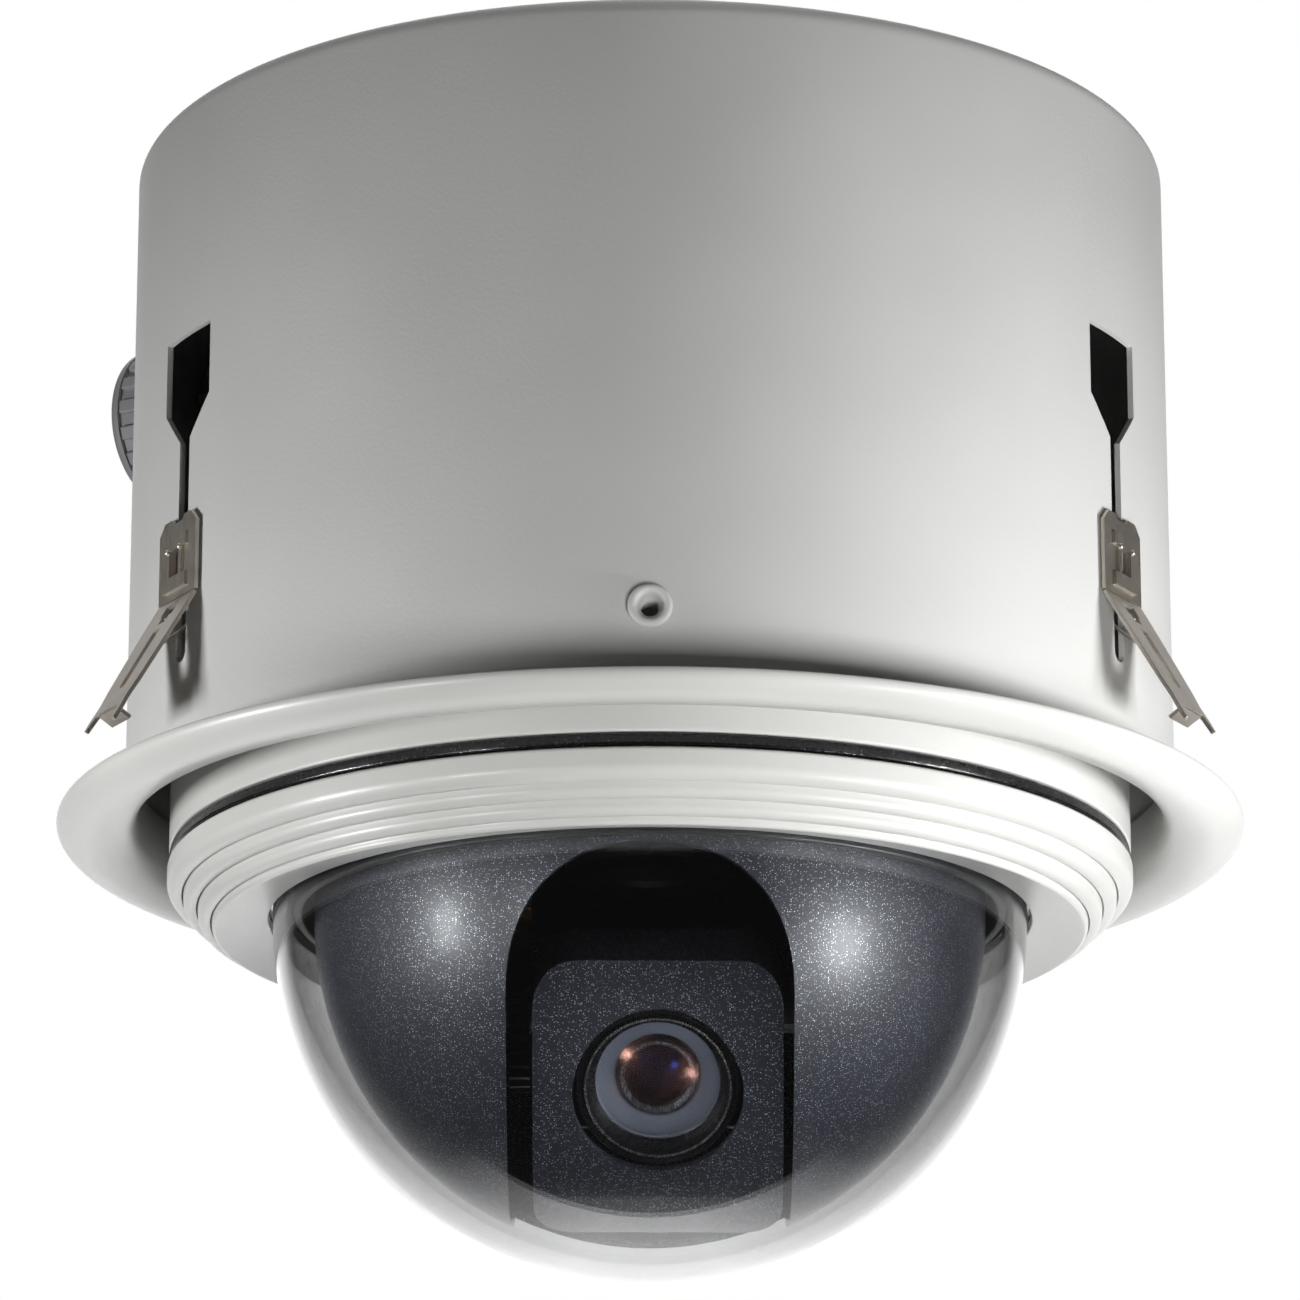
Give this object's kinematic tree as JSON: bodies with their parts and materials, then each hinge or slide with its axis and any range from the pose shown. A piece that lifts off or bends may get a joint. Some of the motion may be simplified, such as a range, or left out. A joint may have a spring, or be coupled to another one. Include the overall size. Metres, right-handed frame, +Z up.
{
  "type": "recessed dome security camera",
  "caption": "Recessed pan and tilt dome camera: ceiling can with spring clips and trim flange, clear bubble, slotted liner and tilting lens module.",
  "frame": {"origin": "centre of the ceiling's lower surface, where the trim flange bears on it", "axes": "+Z up into the ceiling, -Y towards the front, +X to the right of the front when it is seen from the front"},
  "size_m": [0.2348, 0.2379, 0.2285],
  "materials": {
    "powder_coat": "satin, fine texture",
    "trim_white": "satin",
    "spring_steel": "satin",
    "plated_steel": "satin",
    "gland_nylon": "satin",
    "black_rubber": "matt",
    "black_plastic": "satin",
    "fleck_plastic": "satin with fine silver flecks",
    "seal_gloss": "gloss",
    "clear_bubble": "clear, gloss",
    "lens_coated": "coated, gloss",
    "baffle_grey": "matt",
    "circuit_board": "satin",
    "gear_nylon": "satin",
    "brass": "satin"
  },
  "bodies": {
    "can_unit": {"can_shell": "powder_coat", "trim_flange": "trim_white", "rivet_nut": "powder_coat", "gland_body": "gland_nylon", "gland_locknut": "gland_nylon", "gland_seal": "black_rubber", "hanger_bracket": "plated_steel", "power_board": "circuit_board", "terminal_block": "circuit_board", "unit_housing": "trim_white", "seal_band": "seal_gloss", "trim_ring": "trim_white", "bubble_dome": "clear_bubble", "dome_retainer": "black_plastic", "pan_base_plate": "plated_steel", "pan_spindle": "plated_steel", "slip_ring": "black_plastic", "pan_motor": "plated_steel", "main_board": "circuit_board"},
    "gland_cap": {"gland_cap_nut": "gland_nylon"},
    "pan_head": {"turntable": "black_plastic", "pan_gear": "gear_nylon", "liner": "fleck_plastic", "yoke_left": "black_plastic", "yoke_right": "black_plastic", "tilt_motor": "plated_steel"},
    "pan_drive": {"pan_pinion": "brass"},
    "tilt_drive": {"tilt_pinion": "brass"},
    "tilt_camera": {"camera_cover": "fleck_plastic", "camera_block": "black_plastic", "lens_ring": "black_plastic", "lens_baffle": "baffle_grey", "lens_inner_barrel": "black_plastic", "lens_glass": "lens_coated", "tilt_gear": "gear_nylon", "tilt_axle_left": "plated_steel", "tilt_axle_right": "plated_steel"},
    "clip_1": {"clip_plate_1": "spring_steel"},
    "wing_1": {"clip_wing_1": "spring_steel"},
    "clip_2": {"clip_plate_2": "spring_steel"},
    "wing_2": {"clip_wing_2": "spring_steel"},
    "clip_3": {"clip_plate_3": "spring_steel"},
    "wing_3": {"clip_wing_3": "spring_steel"}
  },
  "joints": [
    {"name": "pan", "type": "hinge", "parent": "can_unit", "child": "pan_head", "pos_m": [0, 0, 0], "axis": [0, 0, 1], "continuous": true},
    {"name": "pan_pinion_turn", "type": "hinge", "parent": "can_unit", "child": "pan_drive", "pos_m": [0.05415, 0, 0], "axis": [0, 0, 1], "continuous": true},
    {"name": "tilt", "type": "hinge", "parent": "pan_head", "child": "tilt_camera", "pos_m": [0, 0, -0.037], "axis": [1, 0, 0], "range_deg": [-33, 41]},
    {"name": "tilt_pinion_turn", "type": "hinge", "parent": "pan_head", "child": "tilt_drive", "pos_m": [0, 0, -0.01585], "axis": [1, 0, 0], "range_deg": [-103, 83]},
    {"name": "gland_cap_turn", "type": "hinge", "parent": "can_unit", "child": "gland_cap", "pos_m": [-0.09526, 0.055, 0.1039], "axis": [-0.866, 0.5, 0], "continuous": true},
    {"name": "clip_slide_1", "type": "slide", "parent": "can_unit", "child": "clip_1", "axis": [0, 0, 1], "range_m": [-0.002, 0.02]},
    {"name": "wing_flex_1", "type": "hinge", "parent": "clip_1", "child": "wing_1", "pos_m": [-0.09024, -0.0521, 0.032], "axis": [0.5, -0.866, 0], "range_deg": [-8, 24], "stiffness_Nm_per_rad": 0.3},
    {"name": "clip_slide_2", "type": "slide", "parent": "can_unit", "child": "clip_2", "axis": [0, 0, 1], "range_m": [-0.002, 0.02]},
    {"name": "wing_flex_2", "type": "hinge", "parent": "clip_2", "child": "wing_2", "pos_m": [0.09024, -0.0521, 0.032], "axis": [0.5, 0.866, 0], "range_deg": [-8, 24], "stiffness_Nm_per_rad": 0.3},
    {"name": "clip_slide_3", "type": "slide", "parent": "can_unit", "child": "clip_3", "axis": [0, 0, 1], "range_m": [-0.002, 0.02]},
    {"name": "wing_flex_3", "type": "hinge", "parent": "clip_3", "child": "wing_3", "pos_m": [0, 0.1042, 0.032], "axis": [-1, 0, 0], "range_deg": [-8, 24], "stiffness_Nm_per_rad": 0.3}
  ],
  "couplings": [
    {"joint": "pan_pinion_turn", "follows": "pan", "ratio": -5},
    {"joint": "tilt_pinion_turn", "follows": "tilt", "ratio": -2.5}
  ]
}
